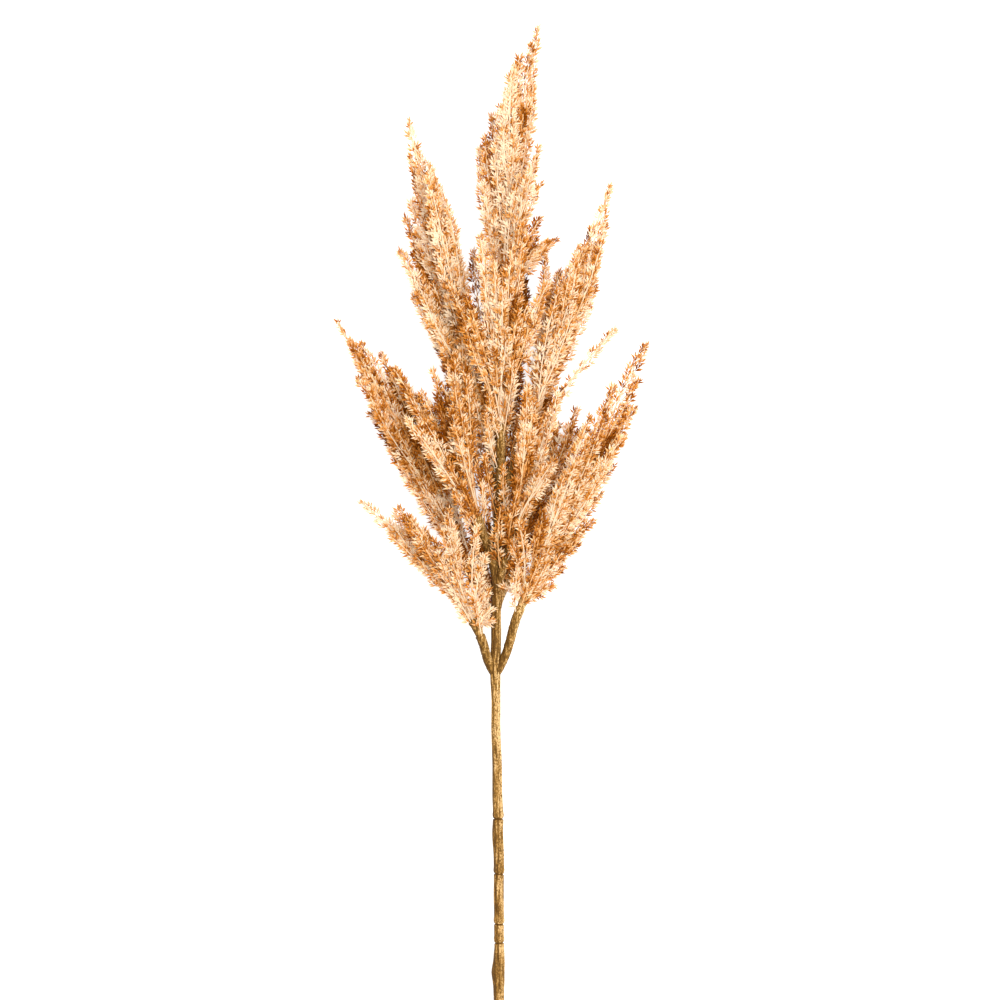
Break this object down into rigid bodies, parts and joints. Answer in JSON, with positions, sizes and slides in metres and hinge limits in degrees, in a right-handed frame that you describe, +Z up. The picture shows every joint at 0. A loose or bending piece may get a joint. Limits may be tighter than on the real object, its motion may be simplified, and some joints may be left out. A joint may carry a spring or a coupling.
{
  "type": "pampas grass plume",
  "caption": "Long straight knuckled stem that forks into slim side branches, each ending in a head of feathery fronds, cut and lying down.",
  "frame": {"origin": "on the surface the plume lies on, under the middle of its length and of its width", "axes": "+Y along the plume from the cut end of its stem to its tip, +Z up from the surface, +X to the right when it is seen from above with its tip away"},
  "size_m": [0.3123, 0.9894, 0.1464],
  "materials": {
    "stem": "matte tan with darker lengthwise streaks",
    "plume": "matte pale straw to toasted brown"
  },
  "bodies": {
    "root": {"stem": "stem", "head_top": "plume", "head_upper_left": "plume", "head_upper_right": "plume", "head_front": "plume", "head_under": "plume", "head_mid_left": "plume", "head_mid_right": "plume", "head_left": "plume", "head_right_back": "plume", "head_lower_left": "plume", "head_lower_right": "plume"}
  },
  "joints": []
}
